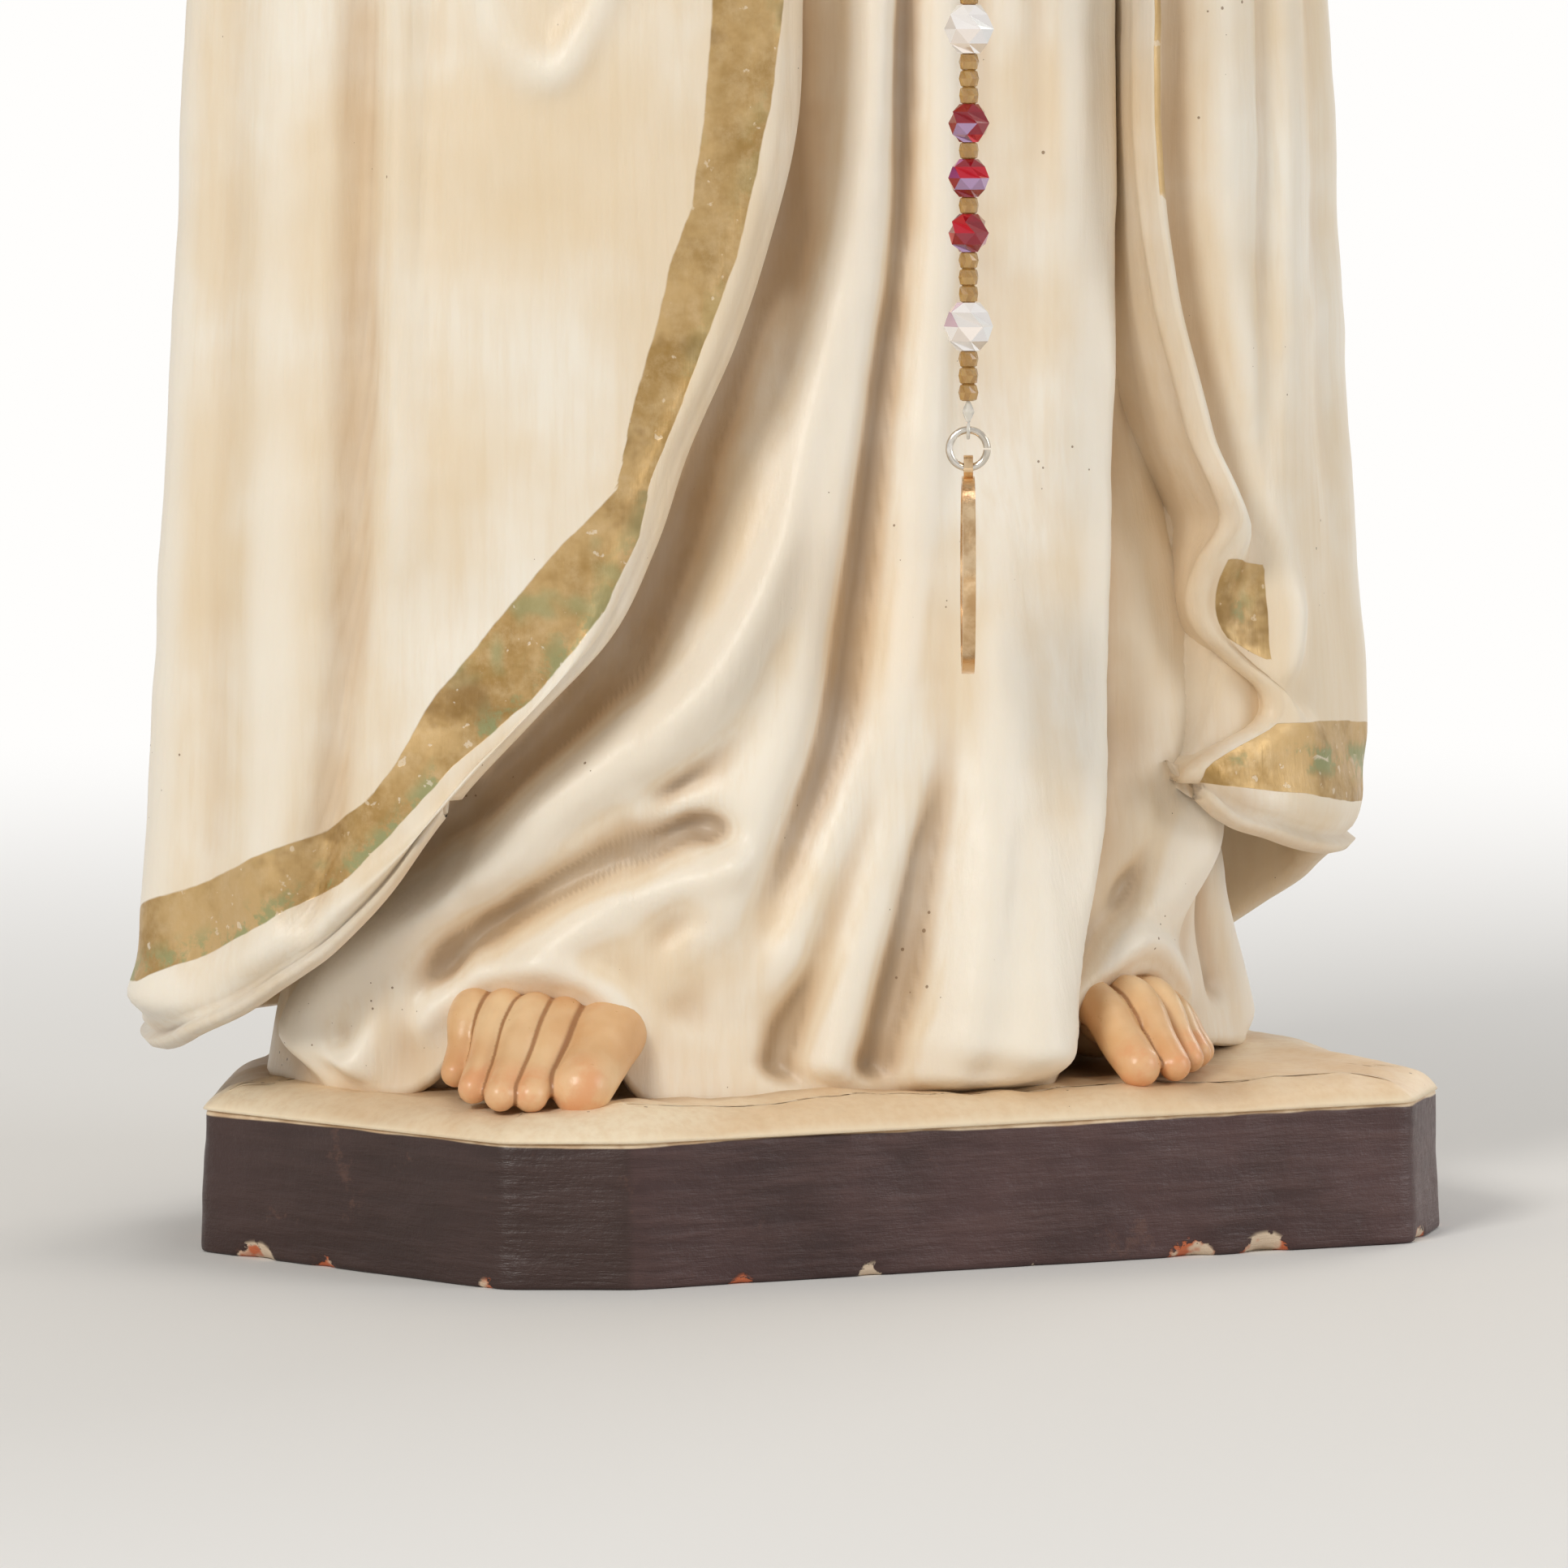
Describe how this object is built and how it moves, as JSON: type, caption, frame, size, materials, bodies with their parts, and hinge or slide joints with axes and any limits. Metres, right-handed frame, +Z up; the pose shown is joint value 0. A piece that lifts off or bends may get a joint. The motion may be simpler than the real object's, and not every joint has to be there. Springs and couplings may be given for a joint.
{
  "type": "madonna statue",
  "caption": "Standing robed Madonna figure with joined hands on a low irregular plinth, with a bead rosary and a medal hanging from the hands.",
  "frame": {"origin": "middle of the plinth's flat underside", "axes": "+Z up, -Y the way the figure faces, +X the figure's left"},
  "size_m": [0.1642, 0.1294, 0.43],
  "materials": {
    "cream_paint": "matte",
    "plinth_paint": "satin",
    "ground_paint": "matte",
    "flesh_paint": "satin",
    "hair_paint": "matte",
    "rose_white_paint": "matte",
    "rose_red_paint": "matte",
    "rose_gold_paint": "satin",
    "rod_wood": "matte",
    "nylon_thread": "gloss",
    "steel_ring": "polished",
    "gilt_medal": "polished",
    "red_glass": "gloss",
    "white_glass": "gloss",
    "gold_glass": "gloss"
  },
  "bodies": {
    "root": {"armature_rod": "rod_wood", "gown": "cream_paint", "ground": "ground_paint", "hair": "hair_paint", "head": "flesh_paint", "left_foot": "flesh_paint", "left_hand": "flesh_paint", "left_sleeve": "cream_paint", "mantle": "cream_paint", "mantle_hood": "cream_paint", "plinth": "plinth_paint", "right_foot": "flesh_paint", "right_hand": "flesh_paint", "right_sleeve": "cream_paint", "rose_gold": "rose_gold_paint", "rose_red": "rose_red_paint", "rose_white": "rose_white_paint", "turns_decade_beads": "red_glass", "turns_paternoster_beads": "white_glass", "turns_seed_beads": "gold_glass", "turns_thread": "nylon_thread"},
    "rosary_loop": {"left_strand_thread": "nylon_thread", "right_strand_thread": "nylon_thread", "strand_decade_beads": "red_glass", "strand_paternoster_beads": "white_glass", "strand_seed_beads": "gold_glass", "centre_knot": "nylon_thread"},
    "pendant": {"pendant_thread": "nylon_thread", "pendant_decade_beads": "red_glass", "pendant_paternoster_beads": "white_glass", "pendant_seed_beads": "gold_glass", "end_knot": "nylon_thread"},
    "ring": {"jump_ring": "steel_ring"},
    "medal": {"medal": "gilt_medal"}
  },
  "joints": [
    {"name": "loop_swing", "type": "hinge", "parent": "root", "child": "rosary_loop", "pos_m": [0.0039, -0.055, 0.294], "axis": [-1, 0, 0], "range_deg": [0, 35]},
    {"name": "pendant_sway", "type": "hinge", "parent": "rosary_loop", "child": "pendant", "pos_m": [0.0039, -0.055, 0.1588], "axis": [0, 1, 0], "range_deg": [-8, 8]},
    {"name": "ring_swing", "type": "hinge", "parent": "pendant", "child": "ring", "pos_m": [0.0039, -0.055, 0.10135], "axis": [0.3811, 0.9245, 0], "range_deg": [-20, 20]},
    {"name": "medal_swing", "type": "hinge", "parent": "ring", "child": "medal", "pos_m": [0.0039, -0.055, 0.09685], "axis": [-0.9245, 0.3811, 0], "range_deg": [-5, 60]}
  ]
}
